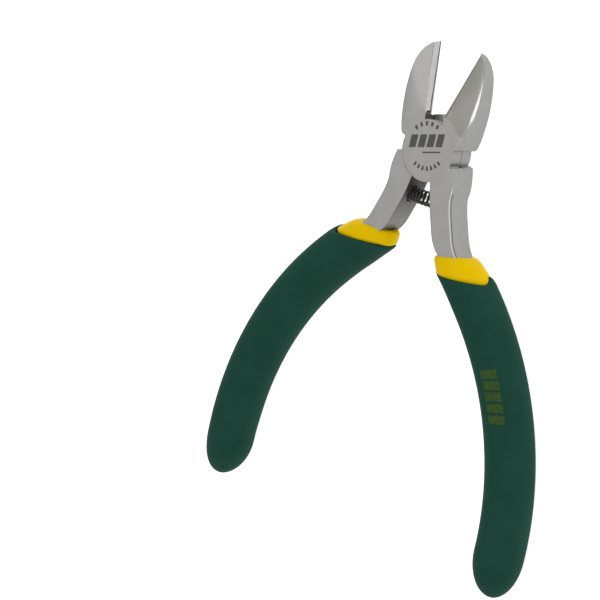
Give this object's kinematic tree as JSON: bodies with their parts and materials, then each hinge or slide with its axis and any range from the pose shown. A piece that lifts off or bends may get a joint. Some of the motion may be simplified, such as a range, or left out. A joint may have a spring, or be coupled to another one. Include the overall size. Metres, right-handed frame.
{
  "type": "flush cut pliers",
  "caption": "Small sprung flush cut pliers with lapped levers on a ground-flush rivet and curved handles dipped in a two-layer grip.",
  "frame": {"origin": "on the pivot axis, on the flat underside of the joint", "axes": "+Z along the pivot axis towards the front of the tool, +Y from the pivot to the jaw tips, +X across the tool"},
  "size_m": [0.0873, 0.1091, 0.0093],
  "materials": {
    "lever_steel": "matt, bead blasted, with the cutting bevels ground bright",
    "spring_steel": "black, satin",
    "inner_layer": "yellow dipped vinyl, semi-gloss",
    "outer_layer": "dark green dipped vinyl, matt"
  },
  "bodies": {
    "back_half": {"back_lever": "lever_steel", "pivot_rivet": "lever_steel", "return_spring": "spring_steel", "inner_sleeve_left": "inner_layer", "grip_left": "outer_layer"},
    "front_half": {"front_lever": "lever_steel", "inner_sleeve_right": "inner_layer", "grip_right": "outer_layer"}
  },
  "joints": [
    {"name": "pivot", "type": "hinge", "parent": "back_half", "child": "front_half", "pos_m": [0, 0, 0], "axis": [0, 0, 1], "range_deg": [-26.3, 26], "stiffness_Nm_per_rad": 0.12, "deforming": ["return_spring"]}
  ]
}
